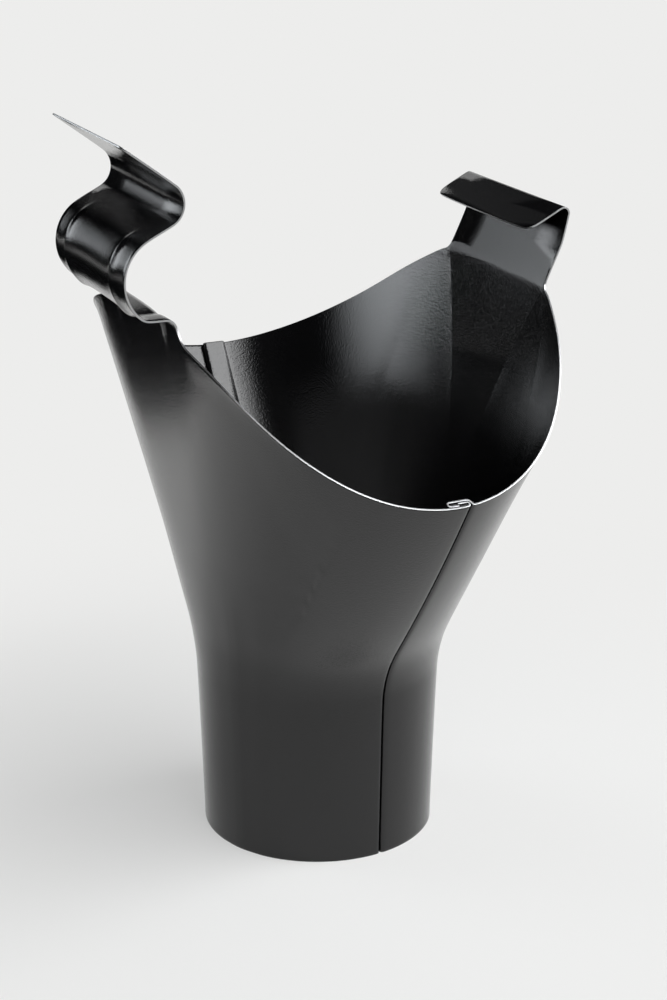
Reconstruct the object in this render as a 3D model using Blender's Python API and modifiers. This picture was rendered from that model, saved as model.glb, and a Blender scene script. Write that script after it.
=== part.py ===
# Gutter outlet of thin coated steel: a saddle-shaped funnel that hangs under a half-round gutter
# and leads the water into a round downpipe. It is made of two pressed sheets. The front one runs
# up into a spring clip that grips the gutter's front bead, the rear one into a tab with a folded
# lip that hooks over the gutter's back edge. The sheets hook into each other along both sides.
#
# Lengths are in metres. +Z is up, the gutter runs along Y and its back edge lies towards +X.
# The origin is on the ground, under the middle of the whole part.

import math
from collections import namedtuple

import bmesh
import bpy
from mathutils import Vector

# The sheet, and the clear space between its layers in the side seams
SHEET = 0.0006
SEAM_GAP = 0.0003

# The spigot that goes into the downpipe, measured outside
SPIGOT_RADIUS = 0.0430
SPIGOT_COLLAR = 0.004
NECK_RADIUS = 0.0452
NECK_HEIGHT = 0.0720
NECK_BLEND = 0.012

# The funnel's walls, measured outside at one height near the top
TOP_HEIGHT = 0.2076
SIDE_REACH = 0.1395
SIDE_BULGE = 0.0213
FRONT_REACH = 0.0668
FRONT_FLAT = 0.0600
FRONT_FLAT_GROWTH = 1.6
FRONT_SQUARENESS = 0.9
FRONT_SQUARE_RATE = 2.6
REAR_REACH = 0.0724
REAR_FLAT = 0.0374
REAR_FLAT_GROWTH = 2.1
REAR_SQUARENESS = 2.25
REAR_SQUARE_RATE = 5.7
CREASE = 0.36

# The gutter that the rim is cut to. Its axis lies above the measured height
GUTTER_RADIUS = 0.0733
GUTTER_AXIS_RISE = 0.0222
GUTTER_AXIS_X = 0.0015

# The side seams: where the fold of each sheet lies along X
FRONT_FOLD_X = 0.0050
REAR_FOLD_X = -0.0011
SEAM_LEAD = 0.004

# Spring clip on the front sheet. Its first bend lies below the measured height, and the
# sheet's level shoulder beside the clip lies below the bend
CLIP_HALF_WIDTH = 0.0360
CLIP_BEND_DROP = 0.0021
CLIP_SHOULDER_DROP = 0.0030
CLIP_CORNER_RADIUS = 0.0035
CLIP_SHELF = 0.0050
CLIP_ENTRY_RADIUS = 0.006
CLIP_ENTRY_ANGLE = 43.0
CLIP_GRIP_RADIUS = 0.0157
CLIP_RAMP_ANGLE = 25.5
CLIP_RAMP = 0.0087
CLIP_TURN_RADIUS = 0.0080
CLIP_FLANGE_ANGLE = 36.5
CLIP_FLANGE = 0.0226
CLIP_TIP_ROUNDING = 0.0025

# Two stiffening beads pressed into the clip
BEAD_SPACING = 0.0465
BEAD_WIDTH = 0.0056
BEAD_DEPTH = 0.0013
BEAD_START = 0.007
BEAD_FADE = 0.006

# Tab on the rear sheet, with its bend and its shoulder set in the same way
TAB_HALF_WIDTH = 0.0357
TAB_BEND_DROP = 0.0028
TAB_SHOULDER_DROP = 0.0013
TAB_BEND_RADIUS = 0.006
TAB_LEAN = 25.0
TAB_SLOPE = 0.0145
TAB_SET_RADIUS = 0.012
TAB_TOP_LEAN = 13.0
TAB_TOP = 0.0089
TAB_FOLD_RADIUS = 0.0022
TAB_LIP_ANGLE = 27.5
TAB_LIP = 0.0147
TAB_LIP_ROUNDING = 0.005

# Round notches where the clip and the tab leave the rim
NOTCH_RADIUS = 0.0045

# How finely the sheets are drawn
NECK_ROWS = 4
FUNNEL_ROWS = 9
FLANK_COLUMNS = 10
NOTCH_COLUMNS = 4
FOLD_STEPS = 4
BEND_STEP = 15.0

# Share of the spigot's radius that the strip's edge line keeps at the neck
NECK_EDGE = 0.64

# Layers in a seam lie one sheet and one gap apart
LAYER = SHEET + SEAM_GAP

# Heights above the ground
NECK_TOP = NECK_HEIGHT + NECK_BLEND
GUTTER_AXIS_HEIGHT = TOP_HEIGHT + GUTTER_AXIS_RISE
CLIP_BEND_HEIGHT = TOP_HEIGHT - CLIP_BEND_DROP
CLIP_SHOULDER = CLIP_BEND_HEIGHT - CLIP_SHOULDER_DROP
TAB_BEND_HEIGHT = TOP_HEIGHT - TAB_BEND_DROP
TAB_SHOULDER = TAB_BEND_HEIGHT - TAB_SHOULDER_DROP

Section = namedtuple("Section", "reach width flat power crease")
Station = namedtuple("Station", "distance out height heading")
Column = namedtuple("Column", "place end")


def height_share(z):
    """Share of the way from the neck to the measured top, with a soft start."""
    rise = z - NECK_HEIGHT
    if rise < -NECK_BLEND:
        rise = 0.0
    elif rise < NECK_BLEND:
        rise = (rise + NECK_BLEND) ** 2 / (4 * NECK_BLEND)
    return rise / (TOP_HEIGHT - NECK_HEIGHT)


def spigot_taper(z):
    """How much smaller than the neck the spigot's radius is at this height."""
    share = (z - SPIGOT_COLLAR) / (NECK_HEIGHT - SPIGOT_COLLAR)
    return (NECK_RADIUS - SPIGOT_RADIUS) * (1 - min(max(share, 0.0), 1.0))


def wall_section(is_front, z):
    """The level outline of one wall at height z: a flat panel that swings round to the seam."""
    share = height_share(z)
    if is_front:
        reach, flat = FRONT_REACH, FRONT_FLAT * share ** FRONT_FLAT_GROWTH
        power = 2 + FRONT_SQUARENESS * share ** FRONT_SQUARE_RATE
    else:
        reach, flat = REAR_REACH, REAR_FLAT * share ** REAR_FLAT_GROWTH
        power = 2 + REAR_SQUARENESS * share ** REAR_SQUARE_RATE
    bulge = SIDE_BULGE * share * (1 - share)
    inset = spigot_taper(z) + SHEET / 2
    return Section(
        NECK_RADIUS + (reach - NECK_RADIUS) * share - inset,
        NECK_RADIUS + (SIDE_REACH - NECK_RADIUS) * share + bulge - inset,
        flat,
        power,
        CREASE * share ** 2,
    )


def section_x(cut, y):
    """Distance of the outline from the YZ plane at a distance y from the XZ plane."""
    if y <= cut.flat:
        return cut.reach
    lift = cut.crease + (1 - cut.crease) * (y - cut.flat) / (cut.width - cut.flat)
    return cut.reach * ((1 - lift ** 2) / (1 - cut.crease ** 2)) ** (1 / cut.power)


def section_lift(cut, x):
    """Rise of the outline from its crease to the seam, as a sine, at a distance x."""
    return math.sqrt(1 - (1 - cut.crease ** 2) * (abs(x) / cut.reach) ** cut.power)


def section_y(cut, lift):
    """Distance of the outline from the XZ plane at a given rise."""
    return cut.flat + (cut.width - cut.flat) * (lift - cut.crease) / (1 - cut.crease)


def gutter_height(x):
    """Height of the gutter's underside, and so of the rim, at x."""
    depth = GUTTER_RADIUS ** 2 - (x - GUTTER_AXIS_X) ** 2
    return GUTTER_AXIS_HEIGHT - math.sqrt(max(depth, 0.0))


def rim_height(place, shoulder):
    """Height at which a column of the wall meets the gutter, or the sheet's level shoulder."""
    low, high = NECK_TOP, shoulder
    for _ in range(30):
        middle = (low + high) / 2
        if middle < gutter_height(place(middle).x):
            low = middle
        else:
            high = middle
    return middle


def spread(start, end, count):
    """Numbers evenly spaced after start, up to end."""
    return [start + (end - start) * i / count for i in range(1, count + 1)]


def strip_stations(out, height, heading, steps):
    """Stations along a strip that is folded up from the wall, in its own upright plane.

    A step is a run, given by its length, or a bend, given by its radius and the heading
    that it ends at. Headings are in degrees from straight out, with 90 straight up.
    """
    distance = 0.0
    stations = [Station(distance, out, height, heading)]
    for kind, size, target in steps:
        if kind == "run":
            angle = math.radians(heading)
            distance += size
            out += size * math.cos(angle)
            height += size * math.sin(angle)
            stations.append(Station(distance, out, height, heading))
            continue
        turn = math.radians(target - heading)
        side = math.copysign(1, turn)
        first = math.radians(heading) - side * math.pi / 2
        centre = (out - size * math.cos(first), height - size * math.sin(first))
        count = max(1, math.ceil(abs(target - heading) / BEND_STEP))
        for part in spread(0.0, turn, count):
            out = centre[0] + size * math.cos(first + part)
            height = centre[1] + size * math.sin(first + part)
            stations.append(Station(distance + size * abs(part), out, height, heading + math.degrees(part)))
        distance += size * abs(turn)
        heading = target
    return stations


def along_strip(stations, distance):
    """The place on a folded strip at a distance from its start."""
    for before, after in zip(stations, stations[1:]):
        if distance <= after.distance:
            break
    share = (distance - before.distance) / (after.distance - before.distance)
    return Station(*(a + (b - a) * share for a, b in zip(before, after)))


def wall_heading(is_front, z):
    """Heading of the flat panel at height z."""
    step = 0.001
    lean = wall_section(is_front, z).reach - wall_section(is_front, z - step).reach
    return math.degrees(math.atan2(step, lean))


def clip_stations():
    """The spring clip's fold line: shelf, grip round the bead, ramp, turn and flange."""
    start = wall_section(True, CLIP_BEND_HEIGHT).reach
    steps = [
        ("bend", CLIP_CORNER_RADIUS, 0.0),
        ("run", CLIP_SHELF, None),
        ("bend", CLIP_ENTRY_RADIUS, CLIP_ENTRY_ANGLE),
        ("bend", CLIP_GRIP_RADIUS, 180.0 - CLIP_RAMP_ANGLE),
        ("run", CLIP_RAMP, None),
        ("bend", CLIP_TURN_RADIUS, CLIP_FLANGE_ANGLE),
        ("run", CLIP_FLANGE - CLIP_TIP_ROUNDING, None),
        ("run", CLIP_TIP_ROUNDING, None),
    ]
    return strip_stations(start, CLIP_BEND_HEIGHT, wall_heading(True, CLIP_BEND_HEIGHT), steps)


def tab_stations():
    """The tab's fold line: a slope, a set back towards upright, a tight fold and the lip."""
    start = wall_section(False, TAB_BEND_HEIGHT).reach
    steps = [
        ("bend", TAB_BEND_RADIUS, 90.0 - TAB_LEAN),
        ("run", TAB_SLOPE, None),
        ("bend", TAB_SET_RADIUS, 90.0 - TAB_TOP_LEAN),
        ("run", TAB_TOP, None),
        ("bend", TAB_FOLD_RADIUS, 180.0 + TAB_LIP_ANGLE),
        ("run", TAB_LIP - TAB_LIP_ROUNDING, None),
        ("run", TAB_LIP_ROUNDING, None),
    ]
    return strip_stations(start, TAB_BEND_HEIGHT, wall_heading(False, TAB_BEND_HEIGHT), steps)


def bead_height(y, climb):
    """How far the stiffening beads push the clip outward, at y and at a climb above its bend."""
    off_centre = abs(y - BEAD_SPACING / 2) / (BEAD_WIDTH / 2)
    if off_centre >= 1:
        return 0.0
    grip_end = clip_grip_end()
    start = min(max((climb + BEAD_START) / BEAD_START, 0.0), 1.0)
    finish = min(max((grip_end - climb) / BEAD_FADE, 0.0), 1.0)
    return BEAD_DEPTH * math.cos(off_centre * math.pi / 2) ** 2 * start * finish


def clip_grip_end():
    """Distance along the clip from its bend to the end of the grip."""
    corner = math.radians(wall_heading(True, CLIP_BEND_HEIGHT)) * CLIP_CORNER_RADIUS
    entry = math.radians(CLIP_ENTRY_ANGLE) * CLIP_ENTRY_RADIUS
    grip = math.radians(180.0 - CLIP_RAMP_ANGLE - CLIP_ENTRY_ANGLE) * CLIP_GRIP_RADIUS
    return corner + CLIP_SHELF + entry + grip


def panel_place(is_front, stations, bend, y_top, half_width):
    """A column of the flat panel, which goes on up the strip above the bend.

    Its height runs on past the bend as the distance along the strip.
    """
    facing = -1 if is_front else 1
    whole_panel = wall_section(is_front, bend)
    set_back = section_x(whole_panel, 0.0) - section_x(whole_panel, y_top)

    def place(height):
        share = min(max((height - NECK_HEIGHT) / (bend - NECK_HEIGHT), 0.0), 1.0)
        cut = wall_section(is_front, min(height, bend))
        edge = (1 - share) * NECK_EDGE * cut.width + share * half_width
        y = y_top * edge / half_width
        if height <= bend:
            out, up, heading = section_x(cut, y), height, stations[0].heading
        else:
            station = along_strip(stations, height - bend)
            out, up, heading = station.out - set_back, station.height, station.heading
        if is_front:
            push = bead_height(y_top, height - bend)
            out += push * math.sin(math.radians(heading))
            up -= push * math.cos(math.radians(heading))
        return Vector((facing * out, y, up))

    return place


def flank_place(is_front, edge_place, share, seam_x):
    """A column of the curved flank, at a share of the way from the panel to the seam."""
    facing = -1 if is_front else 1

    def place(height):
        cut = wall_section(is_front, height)
        edge_y = edge_place(height).y
        lift = cut.crease + (1 - cut.crease) * (edge_y - cut.flat) / (cut.width - cut.flat)
        from_angle = math.asin(max(lift, cut.crease))
        to_angle = math.asin(section_lift(cut, seam_x))
        y = section_y(cut, math.sin(from_angle + (to_angle - from_angle) * share))
        return Vector((facing * section_x(cut, y), y, height))

    return place


def skin_y(x, z):
    """Distance of the wall from the XZ plane near the seam."""
    cut = wall_section(x < 0, z)
    return section_y(cut, section_lift(cut, x))


def seam_place(x, depth):
    """A column of a seam layer, at x along the wall and at a depth below its surface."""
    step = 0.0001

    def place(height):
        along = Vector((2 * step, skin_y(x + step, height) - skin_y(x - step, height), 0.0))
        up = Vector((0.0, skin_y(x, height + step) - skin_y(x, height - step), 2 * step))
        outward = up.cross(along).normalized()
        return Vector((x, skin_y(x, height), height)) - depth * outward

    return place


def front_seam():
    """The front sheet's fold as (x, depth): out past the rear fold, round, and back inside."""
    middle = (FRONT_FOLD_X + REAR_FOLD_X) / 2
    layer = [(REAR_FOLD_X, 0.0), (middle, 0.0), (FRONT_FOLD_X, 0.0)]
    for angle in spread(0.0, math.pi, FOLD_STEPS):
        layer.append((FRONT_FOLD_X + LAYER * math.sin(angle), LAYER * (1 - math.cos(angle))))
    layer += [(middle, 2 * LAYER), (REAR_FOLD_X, 2 * LAYER)]
    return layer


def rear_seam():
    """The rear sheet's fold as (x, depth): a step down under the front fold, round, and back."""
    middle = (FRONT_FOLD_X + REAR_FOLD_X) / 2
    layer = []
    for angle in spread(0.0, math.pi / 2, FOLD_STEPS // 2):
        layer.append((seam_start(False) - LAYER * math.sin(angle), LAYER * (1 - math.cos(angle))))
    for angle in spread(0.0, math.pi / 2, FOLD_STEPS - 1):
        layer.append((FRONT_FOLD_X + 2 * LAYER * math.cos(angle), LAYER + 2 * LAYER * math.sin(angle)))
    layer += [(middle, 3 * LAYER), (REAR_FOLD_X, 3 * LAYER)]
    for angle in spread(0.0, math.pi, FOLD_STEPS):
        layer.append((REAR_FOLD_X - LAYER * math.sin(angle), LAYER * (2 + math.cos(angle))))
    layer += [(middle, LAYER), (FRONT_FOLD_X, LAYER)]
    return layer


def seam_start(is_front):
    """Where along X a sheet leaves the plain wall for its seam."""
    if is_front:
        return REAR_FOLD_X - SEAM_LEAD
    return FRONT_FOLD_X + 3 * LAYER


def rounded_edge(half_width, radius):
    """Column positions across a strip's rounded corner."""
    return [half_width - radius + radius * math.sin(math.radians(a)) for a in (0, 35, 65, 90)]


def clip_columns():
    """Column positions across half of the clip, close together at the bead."""
    bead = BEAD_SPACING / 2
    positions = [0.0] + spread(0.0, bead - BEAD_WIDTH / 2, 3)
    positions += spread(bead - BEAD_WIDTH / 2, bead + BEAD_WIDTH / 2, 4)
    return positions + rounded_edge(CLIP_HALF_WIDTH, CLIP_TIP_ROUNDING)


def tab_columns():
    """Column positions across half of the tab."""
    positions = [0.0] + spread(0.0, TAB_HALF_WIDTH - TAB_LIP_ROUNDING, 4)[:-1]
    return positions + rounded_edge(TAB_HALF_WIDTH, TAB_LIP_ROUNDING)


def sheet_columns(is_front, stations, bend, shoulder, positions, rounding, seam):
    """All columns of half a sheet, from the middle of its panel to the end of its seam."""
    half_width = positions[-1]
    length = bend + stations[-1].distance
    columns = []
    for y in positions:
        beyond = max(y - (half_width - rounding), 0.0)
        cut_back = rounding - math.sqrt(max(rounding ** 2 - beyond ** 2, 0.0))
        columns.append(Column(panel_place(is_front, stations, bend, y, half_width), length - cut_back))

    notch_edge = panel_place(is_front, stations, bend, half_width + NOTCH_RADIUS, half_width)
    floor = rim_height(notch_edge, shoulder)
    for angle in spread(0.0, math.pi / 2, NOTCH_COLUMNS):
        y = half_width + NOTCH_RADIUS * (1 - math.cos(angle))
        place = panel_place(is_front, stations, bend, y, half_width)
        columns.append(Column(place, floor + NOTCH_RADIUS * (1 - math.sin(angle))))

    start = seam_start(is_front)
    for share in spread(0.0, 1.0, FLANK_COLUMNS):
        place = flank_place(is_front, notch_edge, share, start)
        columns.append(Column(place, rim_height(place, shoulder)))

    for x, depth in seam:
        columns.append(Column(seam_place(x, depth), gutter_height(x)))
    return columns, floor + NOTCH_RADIUS


def sheet_rows(stations, bend, notch_top):
    """Heights of the panel's rows, parted where the strip leaves the rest of the sheet.

    The last row before the bend is the one that the clip's beads start from.
    """
    rows = [0.0, SPIGOT_COLLAR, NECK_HEIGHT - NECK_BLEND]
    rows += spread(NECK_HEIGHT - NECK_BLEND, NECK_TOP, NECK_ROWS)
    rows += spread(NECK_TOP, bend - BEAD_START, FUNNEL_ROWS) + [bend]
    rows += [bend + station.distance for station in stations[1:]]
    near = SHEET
    lower = [row for row in rows if row < notch_top - near] + [notch_top]
    upper = [row for row in rows if row > notch_top + near]
    return lower, upper


def half_sheet(name, columns, lower, upper, strip_count):
    """A sheet's half as one open surface. Each column's rows are stretched to its own end."""
    mesh = bpy.data.meshes.new(name)
    grid = bmesh.new()
    lines = []
    for index, column in enumerate(columns):
        on_strip = index < strip_count
        stretch = 1.0 if on_strip else (column.end - NECK_TOP) / (lower[-1] - NECK_TOP)
        heights = [row if row <= NECK_TOP else NECK_TOP + (row - NECK_TOP) * stretch for row in lower]
        if on_strip:
            heights += [min(row, column.end) for row in upper]
        lines.append([grid.verts.new(column.place(height)) for height in heights])
    for line, following in zip(lines, lines[1:]):
        for row in range(min(len(line), len(following)) - 1):
            grid.faces.new((line[row], line[row + 1], following[row + 1], following[row]))
    bmesh.ops.remove_doubles(grid, verts=grid.verts, dist=SHEET / 100)
    grid.to_mesh(mesh)
    grid.free()
    mesh.shade_smooth()
    return mesh


def coated_steel(name, colour, roughness):
    """Dark baked coating on steel sheet."""
    material = bpy.data.materials.new(name)
    material.use_nodes = True
    shader = material.node_tree.nodes["Principled BSDF"]
    shader.inputs["Base Color"].default_value = (*colour, 1.0)
    shader.inputs["Roughness"].default_value = roughness
    shader.inputs["Metallic"].default_value = 0.0
    return material


def sheet_object(name, mesh, material, collection):
    """The whole sheet: its half mirrored, then given its thickness."""
    sheet = bpy.data.objects.new(name, mesh)
    sheet.data.materials.append(material)
    collection.objects.link(sheet)
    mirror = sheet.modifiers.new("Other half", "MIRROR")
    mirror.use_axis = (False, True, False)
    mirror.merge_threshold = 0.00001
    thickness = sheet.modifiers.new("Sheet", "SOLIDIFY")
    thickness.thickness = SHEET
    thickness.offset = 0.0
    thickness.use_even_offset = True
    return sheet


def front_shell(collection):
    """Front sheet with the spring clip."""
    stations = clip_stations()
    positions = clip_columns()
    columns, notch_top = sheet_columns(
        True, stations, CLIP_BEND_HEIGHT, CLIP_SHOULDER, positions, CLIP_TIP_ROUNDING, front_seam())
    lower, upper = sheet_rows(stations, CLIP_BEND_HEIGHT, notch_top)
    mesh = half_sheet("front_shell", columns, lower, upper, len(positions))
    material = coated_steel("front_coating", (0.018, 0.018, 0.019), 0.32)
    return sheet_object("front_shell", mesh, material, collection)


def rear_shell(collection):
    """Rear sheet with the hooked tab."""
    stations = tab_stations()
    positions = tab_columns()
    columns, notch_top = sheet_columns(
        False, stations, TAB_BEND_HEIGHT, TAB_SHOULDER, positions, TAB_LIP_ROUNDING, rear_seam())
    lower, upper = sheet_rows(stations, TAB_BEND_HEIGHT, notch_top)
    mesh = half_sheet("rear_shell", columns, lower, upper, len(positions))
    material = coated_steel("rear_coating", (0.018, 0.018, 0.019), 0.32)
    return sheet_object("rear_shell", mesh, material, collection)


def stand_over_origin(sheets):
    """Moves the part along X so that its extent lies evenly about the origin."""
    bpy.context.view_layer.update()
    depsgraph = bpy.context.evaluated_depsgraph_get()
    edges = []
    for sheet in sheets:
        edges += [corner[0] for corner in sheet.evaluated_get(depsgraph).bound_box]
    middle = (min(edges) + max(edges)) / 2
    for sheet in sheets:
        sheet.location.x = -middle


def clear_scene():
    for item in list(bpy.data.objects):
        bpy.data.objects.remove(item, do_unlink=True)


clear_scene()
outlet = bpy.data.collections.new("gutter_outlet")
bpy.context.scene.collection.children.link(outlet)
stand_over_origin([front_shell(outlet), rear_shell(outlet)])
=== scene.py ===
# %% [markdown]
# # A gutter outlet in black coated steel
#
# The outlet hangs under a half-round gutter. Two pressed sheets hook into each other along both
# sides: the front one ends in a spring clip, the rear one in a hooked tab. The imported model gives
# every wall its true place. This lesson turns it into a picture: the walls are made fine and
# smooth, the sheets get their coating and their cut edges, and a small studio is built round them.

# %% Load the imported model
import math

import bmesh
import bpy
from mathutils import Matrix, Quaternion, Vector
from mathutils.bvhtree import BVHTree


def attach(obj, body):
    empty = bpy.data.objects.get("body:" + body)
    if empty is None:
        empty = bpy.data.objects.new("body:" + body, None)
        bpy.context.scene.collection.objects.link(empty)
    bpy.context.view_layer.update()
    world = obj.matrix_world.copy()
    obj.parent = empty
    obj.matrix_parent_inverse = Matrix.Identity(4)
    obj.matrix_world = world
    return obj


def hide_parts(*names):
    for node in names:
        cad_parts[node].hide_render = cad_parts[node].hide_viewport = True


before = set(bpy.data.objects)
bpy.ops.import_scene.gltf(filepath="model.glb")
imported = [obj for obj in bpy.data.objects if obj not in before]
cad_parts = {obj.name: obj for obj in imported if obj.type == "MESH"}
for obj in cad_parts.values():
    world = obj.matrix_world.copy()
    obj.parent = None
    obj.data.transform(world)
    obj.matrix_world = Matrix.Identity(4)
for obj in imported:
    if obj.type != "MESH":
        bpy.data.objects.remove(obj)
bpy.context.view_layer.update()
print("nodes:", sorted(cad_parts))

# %% [markdown]
# ## The two sheets
#
# The real sheets are cut from a coil and pressed, so they are smooth everywhere except at their
# cut edges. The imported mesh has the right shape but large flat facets. It could be smoothed by
# shading alone, and its outline would still be a polygon. Here a copy of each sheet is merged,
# its triangles are joined to quads, and a Subdivision Surface rounds it. The edges of the cut get
# a full crease first, so that the sheet keeps its size and its square edge.

# %% Helpers for selecting and copying
SHEET = 0.0006
MERGE = SHEET / 30
CUT_ANGLE = math.radians(55)


def select_only(piece):
    bpy.ops.object.select_all(action="DESELECT")
    piece.select_set(True)
    bpy.context.view_layer.objects.active = piece


def copied_sheet(node, name):
    """A merged copy of a CAD node, with quads where its triangles were."""
    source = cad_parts[node]
    piece = bpy.data.objects.new(name, source.data.copy())
    piece.data.name = name
    piece.data.materials.clear()
    bpy.context.scene.collection.objects.link(piece)
    select_only(piece)
    bpy.ops.object.mode_set(mode="EDIT")
    bpy.ops.mesh.select_mode(type="EDGE")
    bpy.ops.mesh.select_all(action="SELECT")
    bpy.ops.mesh.remove_doubles(threshold=MERGE)
    bpy.ops.mesh.tris_convert_to_quads(
        face_threshold=math.radians(60), shape_threshold=math.radians(180), topology_influence=1.6)
    bpy.ops.object.mode_set(mode="OBJECT")
    return piece


front = copied_sheet("front_shell", "front_sheet")
rear = copied_sheet("rear_shell", "rear_sheet")
for piece in (front, rear):
    corners = [len(face.vertices) for face in piece.data.polygons]
    print(piece.name, len(corners), "faces,", corners.count(4), "quads")

# %% [markdown]
# ## The cut edge
#
# A guillotine or a laser leaves a bare rim of steel where the coating ends. It is 0.6 mm wide and
# catches the light as a fine bright line. The cut faces are found by their sharp edges: a cut face
# has one on each side. They get their own material slot, and their edges are creased.


# %% Mark the cut faces and crease their edges
def lies_across_cut(face, sharp):
    """True for a face with two sharp edges that don't meet, one sheet apart."""
    borders = [edge for edge in face.edges if edge in sharp]
    if len(borders) != 2 or set(borders[0].verts) & set(borders[1].verts):
        return False
    length = sum(edge.calc_length() for edge in borders) / 2
    return 0.7 * SHEET < face.calc_area() / length < 1.3 * SHEET


def mark_cut(piece):
    """Puts the cut faces in material slot 1 and creases the sharp edges beside them."""
    shape = bmesh.new()
    shape.from_mesh(piece.data)
    crease = shape.edges.layers.float.new("crease_edge")
    sharp = set()
    for edge in shape.edges:
        if len(edge.link_faces) == 2 and edge.calc_face_angle() > CUT_ANGLE:
            edge[crease] = 1.0
            sharp.add(edge)
    cut = [face for face in shape.faces if lies_across_cut(face, sharp)]
    for face in cut:
        face.material_index = 1
    shape.to_mesh(piece.data)
    shape.free()
    return len(cut)


for piece in (front, rear):
    print(piece.name, mark_cut(piece), "cut faces")

# %% [markdown]
# ## Smooth walls with a softened edge
#
# Two levels of Subdivision Surface bring the facets well under a pixel. A Bevel of about a tenth
# of a millimetre then breaks the cut's two corners, because a real edge is never perfectly sharp
# and a sharp one catches no light.

# %% Smooth and finish a sheet
EDGE_BREAK = 0.00012


def smooth_sheet(piece):
    select_only(piece)
    rounding = piece.modifiers.new("Smooth walls", "SUBSURF")
    rounding.levels = 2
    rounding.render_levels = 2
    rounding.use_limit_surface = False
    bpy.ops.object.modifier_apply(modifier=rounding.name)
    broken = piece.modifiers.new("Broken edge", "BEVEL")
    broken.limit_method = "ANGLE"
    broken.angle_limit = CUT_ANGLE
    broken.width = EDGE_BREAK
    broken.segments = 1
    bpy.ops.object.modifier_apply(modifier=broken.name)
    bpy.ops.object.shade_smooth_by_angle(angle=math.radians(40))


for piece in (front, rear):
    smooth_sheet(piece)
    piece.data.calc_loop_triangles()
    print(piece.name, len(piece.data.loop_triangles), "triangles")

# %% [markdown]
# ## The pressed crease
#
# Down the inside of the rear sheet runs a crease on either side of its flat panel: the press left
# the panel flat and the flanks round. Smoothing has rounded it, so it is pressed again. The sheet
# is cut along the crease's line, the panel is drawn flat up to it, the flank is drawn straight
# beside it, and the line is marked sharp.

# %% Find the crease's line
NECK_HEIGHT = 0.072
TOP_HEIGHT = 0.2076
PANEL_HALF = 0.0374
PANEL_GROWTH = 2.1
CREASE_STOPS = (0.2035, 0.190, 0.175, 0.158, 0.140)
WALL_X = 0.03
ALONG_X = Vector((1, 0, 0))


def crease_y(z):
    """Half the width of the flat panel at height z."""
    return PANEL_HALF * ((z - NECK_HEIGHT) / (TOP_HEIGHT - NECK_HEIGHT)) ** PANEL_GROWTH


def cut_along_crease(shape):
    """Cuts the rear sheet's faces along both creases and returns the new edges."""
    line = []
    for side in (1, -1):
        for top, low in zip(CREASE_STOPS, CREASE_STOPS[1:]):
            upper = Vector((0, side * crease_y(top), top))
            lower = Vector((0, side * crease_y(low), low))
            faces = []
            for face in shape.faces:
                x, y, z = face.calc_center_median()
                if x > WALL_X and y * side > 0 and low <= z < top:
                    faces.append(face)
            reach = set(faces) | {edge for face in faces for edge in face.edges}
            reach |= {vert for face in faces for vert in face.verts}
            cut = bmesh.ops.bisect_plane(
                shape, geom=list(reach), plane_co=upper, plane_no=(upper - lower).cross(ALONG_X))
            line += [part for part in cut["geom_cut"] if isinstance(part, bmesh.types.BMEdge)]
    return line


print("half the panel's width at its top:", round(crease_y(TOP_HEIGHT), 4))

# %% [markdown]
# A point of the panel moves along X to where the sheet stands on its middle line. A ray cast
# through a copy of the sheet finds that place, so that no point follows one that has moved.

# %% Press the crease
CREASE_FADE = 0.020
CREASE_TOP_FADE = 0.002
FLANK_BAND = 0.007
INSIDE_X = 0.02
OUTSIDE_X = 0.12


def rear_skin_x(surface, inner, y, z):
    """Where the rear sheet's inner or outer skin stands at (y, z), or None past its rim."""
    start, way = (INSIDE_X, ALONG_X) if inner else (OUTSIDE_X, -ALONG_X)
    hit = surface.ray_cast(Vector((start, y, z)), way)[0]
    return hit.x if hit else None


def pressed_x(surface, vert):
    """The X of a point once the crease is pressed, or None where it stays."""
    x, y, z = vert.co
    off_line = abs(y) - crease_y(z)
    inner = vert.normal.x < 0
    far = rear_skin_x(surface, inner, math.copysign(crease_y(z) + FLANK_BAND, y), z)
    if off_line > FLANK_BAND or far is None:
        return None
    target = rear_skin_x(surface, inner, 0.0, z)
    if off_line > 0:
        target += (far - target) * off_line / FLANK_BAND
    share = min((z - CREASE_STOPS[-1]) / CREASE_FADE, (CREASE_STOPS[0] - z) / CREASE_TOP_FADE, 1.0)
    return x + (target - x) * share


def press_crease(piece):
    """Draws the rear panel flat and the flanks straight beside it, with a sharp line between."""
    shape = bmesh.new()
    shape.from_mesh(piece.data)
    line = cut_along_crease(shape)
    shape.normal_update()
    surface = BVHTree.FromBMesh(shape)
    places = {}
    for vert in shape.verts:
        x, y, z = vert.co
        if x >= WALL_X and CREASE_STOPS[-1] < z < CREASE_STOPS[0] and abs(vert.normal.x) >= 0.5:
            places[vert] = pressed_x(surface, vert)
    for vert, place in places.items():
        if place is not None:
            vert.co.x = place
    for edge in line:
        edge.smooth = False
    shape.to_mesh(piece.data)
    shape.free()
    return len(line)


print("crease edges:", press_crease(rear))

# %% [markdown]
# ## The ironed front
#
# The front sheet has no crease. Its panel is one even sweep below the clip, and a glossy coat would
# show the slightest fold in it. Each point moves along X to the mean of the points around it.

# %% Iron the front
IRON_STEP = 0.0035
IRON_REACH = 3
IRON_LIMIT = 0.008
IRON_LOW = (0.090, 0.115)
IRON_HIGH = (0.197, 0.189)
IRON_SIDE = (0.090, 0.070)


def ramp(value, start, end):
    """0 before start, 1 after end and a straight rise between. Start may be the larger one."""
    return min(max((value - start) / (end - start), 0.0), 1.0)


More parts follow.
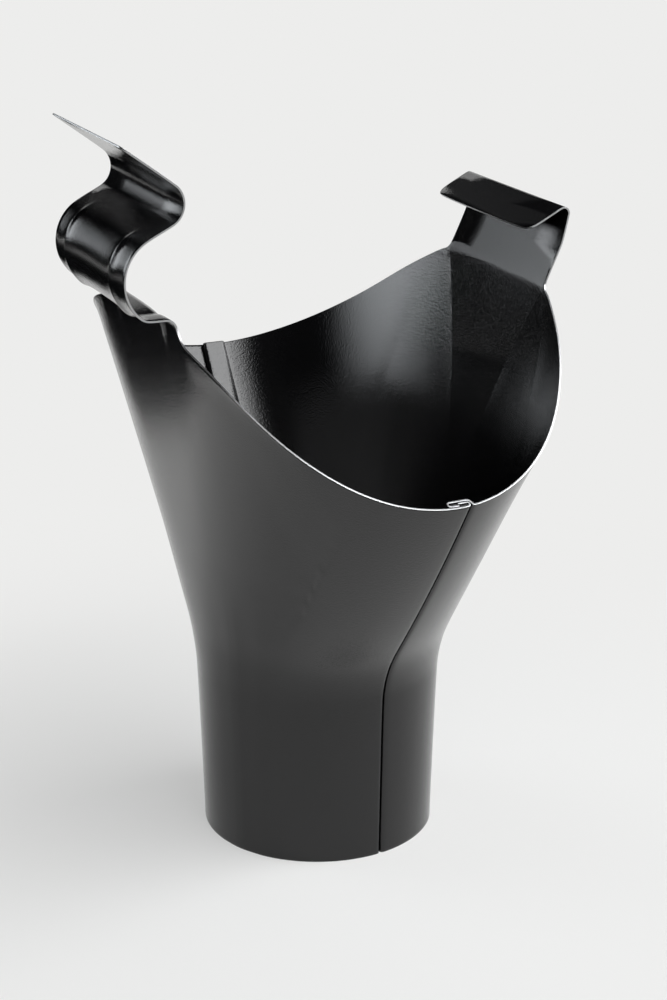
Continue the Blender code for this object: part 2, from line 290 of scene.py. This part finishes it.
def mean_x(surface, vert, offsets):
    """The mean X of a front point and of those of the same skin around it, taken in pairs."""
    x, y, z = vert.co
    start, way = (0.0, -ALONG_X) if vert.normal.x > 0 else (-OUTSIDE_X, ALONG_X)
    total, count = x, 1
    for dy, dz in offsets:
        ahead = surface.ray_cast(Vector((start, y + dy, z + dz)), way)[0]
        behind = surface.ray_cast(Vector((start, y - dy, z - dz)), way)[0]
        if ahead and behind and abs(ahead.x + behind.x - 2 * x) < IRON_LIMIT:
            total += ahead.x + behind.x
            count += 2
    return total / count


def iron_front(piece):
    """Evens the front panel below the clip and leaves the cut edges as they are."""
    shape = bmesh.new()
    shape.from_mesh(piece.data)
    surface = BVHTree.FromBMesh(shape)
    steps = [i * IRON_STEP for i in range(-IRON_REACH, IRON_REACH + 1)]
    offsets = [(dy, dz) for dy in steps for dz in steps if (dy, dz) > (0, 0)]
    moves = []
    for vert in shape.verts:
        x, y, z = vert.co
        share = ramp(z, *IRON_LOW) * ramp(z, *IRON_HIGH) * ramp(abs(y), *IRON_SIDE)
        if x > -WALL_X or share == 0 or any(face.material_index for face in vert.link_faces):
            continue
        moves.append((vert, (mean_x(surface, vert, offsets) - x) * share))
    for vert, move in moves:
        vert.co.x += move
    shape.to_mesh(piece.data)
    shape.free()
    return len(moves)


print("ironed points:", iron_front(front))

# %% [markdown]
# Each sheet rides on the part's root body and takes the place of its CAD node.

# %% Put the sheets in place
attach(front, "root")
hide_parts("front_shell")
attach(rear, "root")
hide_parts("rear_shell")

# %% [markdown]
# ## Finishes
#
# Colours are written as the hex values that a paint chart gives. Blender works in linear light,
# so one function turns them. A second small function adds a node with its settings and links.


# %% Colour and node helpers
def linear(hex_colour):
    """An sRGB hex colour as linear RGBA."""
    channels = [int(hex_colour[i:i + 2], 16) / 255 for i in (1, 3, 5)]
    straight = [c / 12.92 if c <= 0.04045 else ((c + 0.055) / 1.055) ** 2.4 for c in channels]
    return (*straight, 1.0)


def add_node(tree, kind, settings=None, links=None):
    """Adds a node: settings are its properties or input values, links its inputs' sources."""
    node = tree.nodes.new(kind)
    for key, value in (settings or {}).items():
        if isinstance(key, str) and hasattr(node, key):
            setattr(node, key, value)
        else:
            node.inputs[key].default_value = value
    for key, source in (links or {}).items():
        tree.links.new(source, node.inputs[key])
    return node


def new_material(name):
    material = bpy.data.materials.new(name)
    material.use_nodes = True
    tree = material.node_tree
    return material, tree, tree.nodes["Principled BSDF"]


# %% [markdown]
# ## Baked polyester coating
#
# The black is a polyester powder, baked until it flows into a closed skin. It never flows quite
# flat: it keeps a fine orange peel, well under a millimetre wide, that breaks up each highlight.
# The skin is a dielectric with an IOR of 1.5, so the colour can be nearly black and the sheet
# still shows the room at a grazing angle. A slow noise varies the gloss a little, as handling does.

# %% The coating
PEEL_SIZE = 0.00065
PEEL_DEPTH = 0.00008
HANDLING_SIZE = 0.03


def powder_coat(name, colour):
    material, tree, shader = new_material(name)
    place = add_node(tree, "ShaderNodeTexCoord").outputs["Object"]
    peel = add_node(tree, "ShaderNodeTexNoise",
                    {"Scale": 1 / PEEL_SIZE, "Detail": 2.0, "Roughness": 0.55}, {"Vector": place})
    bump = add_node(tree, "ShaderNodeBump",
                    {"Strength": 1.0, "Distance": PEEL_DEPTH}, {"Height": peel.outputs["Fac"]})
    handling = add_node(tree, "ShaderNodeTexNoise",
                        {"Scale": 1 / HANDLING_SIZE, "Detail": 4.0}, {"Vector": place})
    gloss = add_node(tree, "ShaderNodeMapRange",
                     {"From Min": 0.35, "From Max": 0.7, "To Min": 0.12, "To Max": 0.16},
                     {"Value": handling.outputs["Fac"]})
    shader.inputs["Base Color"].default_value = linear(colour)
    shader.inputs["IOR"].default_value = 1.5
    tree.links.new(gloss.outputs["Result"], shader.inputs["Roughness"])
    tree.links.new(bump.outputs["Normal"], shader.inputs["Normal"])
    return material


coating = powder_coat("polyester_powder_coat", "#101011")
print("coating:", coating.name)

# %% [markdown]
# ## Cut steel
#
# The cut shows the galvanised steel inside the coating. It is a metal, sheared and slightly dull.

# %% The cut
SHEAR_MARK = 0.0004


def cut_steel(name, colour):
    material, tree, shader = new_material(name)
    place = add_node(tree, "ShaderNodeTexCoord").outputs["Object"]
    marks = add_node(tree, "ShaderNodeTexNoise",
                     {"Scale": 1 / SHEAR_MARK, "Detail": 2.0}, {"Vector": place})
    gloss = add_node(tree, "ShaderNodeMapRange",
                     {"To Min": 0.28, "To Max": 0.5}, {"Value": marks.outputs["Fac"]})
    shader.inputs["Base Color"].default_value = linear(colour)
    shader.inputs["Metallic"].default_value = 1.0
    tree.links.new(gloss.outputs["Result"], shader.inputs["Roughness"])
    return material


bare_edge = cut_steel("sheared_galvanised_steel", "#c9cacb")
for piece in (front, rear):
    piece.data.materials.append(coating)
    piece.data.materials.append(bare_edge)
    print(piece.name, [material.name for material in piece.data.materials])

# %% [markdown]
# ## The paper
#
# A glossy black object is drawn by what it mirrors, so the studio is built as carefully as the
# sheets. It stands on white paper. Close to it half of the paper's light comes from the lamps, so
# it takes a soft shadow. Further out the paper of the real studio rose into an evenly lit sweep:
# here it fades into a plain glow, for the camera and for every mirror image. The world behind it
# glows in the same tone.

# %% Paper floor
PAPER_TONE = "#ededec"
FLOOR_SIZE = 12.0
SHADOW_SHARE = 0.5
SWEEP_START = 0.36


def seen_directly(tree):
    """1 for a ray from the camera, a mirror or a glass, 0 for scattered light."""
    path = add_node(tree, "ShaderNodeLightPath").outputs
    gloss = add_node(tree, "ShaderNodeMath", {"operation": "MAXIMUM"},
                     {0: path["Is Camera Ray"], 1: path["Is Glossy Ray"]})
    both = add_node(tree, "ShaderNodeMath", {"operation": "MAXIMUM"},
                    {0: gloss.outputs["Value"], 1: path["Is Transmission Ray"]})
    return both.outputs["Value"]


def paper_floor():
    bpy.ops.object.select_all(action="DESELECT")
    bpy.ops.mesh.primitive_plane_add(size=FLOOR_SIZE, location=(0, 0, 0))
    floor = bpy.context.active_object
    floor.name = "paper_floor"
    material, tree, shader = new_material("white_paper")
    shader.inputs["Base Color"].default_value = linear(PAPER_TONE)
    shader.inputs["Roughness"].default_value = 0.9
    shader.inputs["Specular IOR Level"].default_value = 0.0
    place = add_node(tree, "ShaderNodeTexCoord").outputs["Object"]
    distance = add_node(tree, "ShaderNodeVectorMath", {"operation": "LENGTH"}, {0: place})
    fade = add_node(tree, "ShaderNodeMapRange",
                    {"interpolation_type": "SMOOTHSTEP", "From Max": SWEEP_START,
                     "To Min": 1 - SHADOW_SHARE}, {"Value": distance.outputs["Value"]})
    share = add_node(tree, "ShaderNodeMath", {"operation": "MULTIPLY"},
                     {0: fade.outputs["Result"], 1: seen_directly(tree)})
    glow = add_node(tree, "ShaderNodeEmission", {"Color": linear(PAPER_TONE)})
    mix = add_node(tree, "ShaderNodeMixShader", None,
                   {0: share.outputs["Value"], 1: shader.outputs["BSDF"], 2: glow.outputs["Emission"]})
    tree.links.new(mix.outputs["Shader"], tree.nodes["Material Output"].inputs["Surface"])
    floor.data.materials.append(material)


def studio_world():
    world = bpy.data.worlds.new("studio_world")
    bpy.context.scene.world = world
    world.use_nodes = True
    tree = world.node_tree
    background = tree.nodes["Background"]
    background.inputs["Color"].default_value = linear(PAPER_TONE)
    tree.links.new(seen_directly(tree), background.inputs["Strength"])


paper_floor()
studio_world()
print("paper floor:", FLOOR_SIZE, "m wide")

# %% [markdown]
# ## The dark room
#
# Above the paper the room is dark, and the black sheets show it as black between the lamps. The
# room is a ring of black cloth with a ceiling, and more cloth lies where the paper ends on the
# left. The camera looks through them, because a photographer works from outside the set.

# %% Black cloth
CLOTH_TONE = "#141414"
ROOM_RADIUS = 1.5
ROOM_HEIGHT = 1.6
PAPER_CORNER = (-0.12, 0.392)
SWEEP_DISTANCE = 1.4
SWEEP_WIDTH = 1.2
SWEEP_TOP = 0.6
CAMERA_YAW = 24.36
CLOTH_LIFT = 0.0015


def heading(azimuth, distance):
    """The level step that leads this far from +Y towards +X."""
    return distance * math.sin(math.radians(azimuth)), distance * math.cos(math.radians(azimuth))


def set_piece(name, material):
    """Makes the active object a part of the set that the camera doesn't see."""
    piece = bpy.context.active_object
    piece.name = name
    piece.data.materials.append(material)
    piece.visible_camera = False
    return piece


def black_cloth():
    material, tree, shader = new_material("black_cloth")
    shader.inputs["Base Color"].default_value = linear(CLOTH_TONE)
    shader.inputs["Roughness"].default_value = 1.0
    shader.inputs["Specular IOR Level"].default_value = 0.0
    return material


def dark_room(material):
    bpy.ops.object.select_all(action="DESELECT")
    bpy.ops.mesh.primitive_cylinder_add(
        vertices=64, radius=ROOM_RADIUS, depth=ROOM_HEIGHT, location=(0, 0, ROOM_HEIGHT / 2),
        end_fill_type="NOTHING")
    set_piece("cloth_ring", material)
    bpy.ops.mesh.primitive_circle_add(
        vertices=64, radius=ROOM_RADIUS, location=(0, 0, ROOM_HEIGHT), fill_type="NGON")
    set_piece("cloth_ceiling", material)


def cloth_beside_paper(material):
    """Cloth on the floor to the left, where the paper ends. Only mirror images show it."""
    right_back = heading(20, 1.2)
    left_front = heading(-119, 1.3)
    far_corner = (right_back[0] + left_front[0], right_back[1] + left_front[1])
    corners = [(0, 0), right_back, far_corner, left_front]
    bpy.ops.mesh.primitive_circle_add(vertices=4, radius=1.0, fill_type="NGON")
    cloth = set_piece("cloth_on_floor", material)
    for vertex, (x, y) in zip(cloth.data.vertices, corners):
        vertex.co = (PAPER_CORNER[0] + x, PAPER_CORNER[1] + y, CLOTH_LIFT)
    cloth.visible_diffuse = False
    cloth.visible_shadow = False


def white_sweep():
    """The risen end of the paper, behind the outlet as the camera sees it."""
    x, y = heading(CAMERA_YAW, SWEEP_DISTANCE)
    bpy.ops.mesh.primitive_plane_add(size=1.0, location=(x, y, SWEEP_TOP / 2),
                                     rotation=(math.radians(90), 0, -math.radians(CAMERA_YAW)))
    material, tree, shader = new_material("lit_paper")
    glow = add_node(tree, "ShaderNodeEmission", {"Color": linear(PAPER_TONE)})
    tree.links.new(glow.outputs["Emission"], tree.nodes["Material Output"].inputs["Surface"])
    sweep = set_piece("white_sweep", material)
    sweep.scale = (SWEEP_WIDTH, SWEEP_TOP, 1.0)


cloth = black_cloth()
dark_room(cloth)
cloth_beside_paper(cloth)
white_sweep()
print("room:", ROOM_RADIUS, "m in radius and", ROOM_HEIGHT, "m high")

# %% [markdown]
# ## The lamps
#
# Four soft lamps light the set: a long one high on the right, a weak one low beside it, a cooler
# one low on the left, and a faint one behind that the lip mirrors. Each is a glowing panel that is
# brightest in its middle. A direction is an azimuth from +Y towards +X and an elevation, as seen
# from the middle of the outlet.

# %% Soft lamps
AIM_HEIGHT = 0.15


def glow_panel(name, colour, radiance, fades):
    """A soft lamp's front: even in the middle, fading towards its ends and its long sides."""
    material, tree, shader = new_material(name)
    place = add_node(tree, "ShaderNodeTexCoord").outputs["Object"]
    axes = add_node(tree, "ShaderNodeSeparateXYZ", None, {"Vector": place}).outputs
    levels = []
    for axis, fade in zip("XY", fades):
        off_centre = add_node(tree, "ShaderNodeMath", {"operation": "ABSOLUTE"}, {0: axes[axis]})
        level = add_node(tree, "ShaderNodeMapRange",
                         {"interpolation_type": "SMOOTHSTEP", "From Min": 0.5 - fade, "From Max": 0.5,
                          "To Min": 1.0, "To Max": 0.0}, {"Value": off_centre.outputs["Value"]})
        levels.append(level.outputs["Result"])
    both = add_node(tree, "ShaderNodeMath", {"operation": "MULTIPLY"}, {0: levels[0], 1: levels[1]})
    strength = add_node(tree, "ShaderNodeMath", {"operation": "MULTIPLY", 1: radiance},
                        {0: both.outputs["Value"]})
    glow = add_node(tree, "ShaderNodeEmission", {"Color": linear(colour)},
                    {"Strength": strength.outputs["Value"]})
    tree.links.new(glow.outputs["Emission"], tree.nodes["Material Output"].inputs["Surface"])
    return material


def soft_lamp(name, azimuth, elevation, turn, half_angles, distance, colour, radiance, fades):
    """A glowing panel that faces the outlet from a direction."""
    az, el = math.radians(azimuth), math.radians(elevation)
    away = Vector((math.sin(az) * math.cos(el), math.cos(az) * math.cos(el), math.sin(el)))
    bpy.ops.mesh.primitive_plane_add(size=1.0, location=Vector((0, 0, AIM_HEIGHT)) + away * distance)
    lamp = set_piece(name, glow_panel(name + "_front", colour, radiance, fades))
    facing = (-away).to_track_quat("Z", "Y")
    lamp.rotation_euler = (facing @ Quaternion((0, 0, 1), math.radians(turn))).to_euler()
    lamp.scale = (*(2 * distance * math.tan(math.radians(angle)) for angle in half_angles), 1.0)
    print(name, "azimuth", azimuth, "elevation", elevation)


soft_lamp("lamp_right", 130, 44, 27, (50, 15.5), 1.1, "#fdfeff", 7.6, (0.25, 0.20))
soft_lamp("lamp_right_low", 66, 3, 30, (20, 13), 1.1, "#fdfeff", 3.6, (0.45, 0.45))
soft_lamp("lamp_left", -48, 17, 0, (30, 12.5), 1.2, "#f6fbff", 4.5, (0.45, 0.12))
soft_lamp("lamp_behind", 4, 30, 0, (16, 12), 1.3, "#fdfeff", 0.13, (0.45, 0.45))

# %% [markdown]
# ## The camera
#
# The photograph was taken from above and a little to the left of the near seam, through a lens
# of about 82 mm. The distance was found from how the clip and the tab shrink with depth.

# %% Camera
FOCAL_PIXELS = 2266.6
LONG_SIDE_PIXELS = 1000
SENSOR = 36.0
SPIGOT_AXIS_X = 0.00199
CAMERA_PLACE = (SPIGOT_AXIS_X - 0.3166, -0.7139, 0.3969)
CAMERA_PITCH = 19.20

lens = bpy.data.cameras.new("camera")
lens.sensor_width = SENSOR
lens.lens = SENSOR * FOCAL_PIXELS / LONG_SIDE_PIXELS
camera = bpy.data.objects.new("camera", lens)
camera.location = CAMERA_PLACE
camera.rotation_euler = (math.radians(90 - CAMERA_PITCH), 0.0, math.radians(-CAMERA_YAW))
bpy.context.scene.collection.objects.link(camera)
bpy.context.scene.camera = camera
bpy.context.scene.view_settings.view_transform = "Standard"
print("lens:", round(lens.lens, 1), "mm")
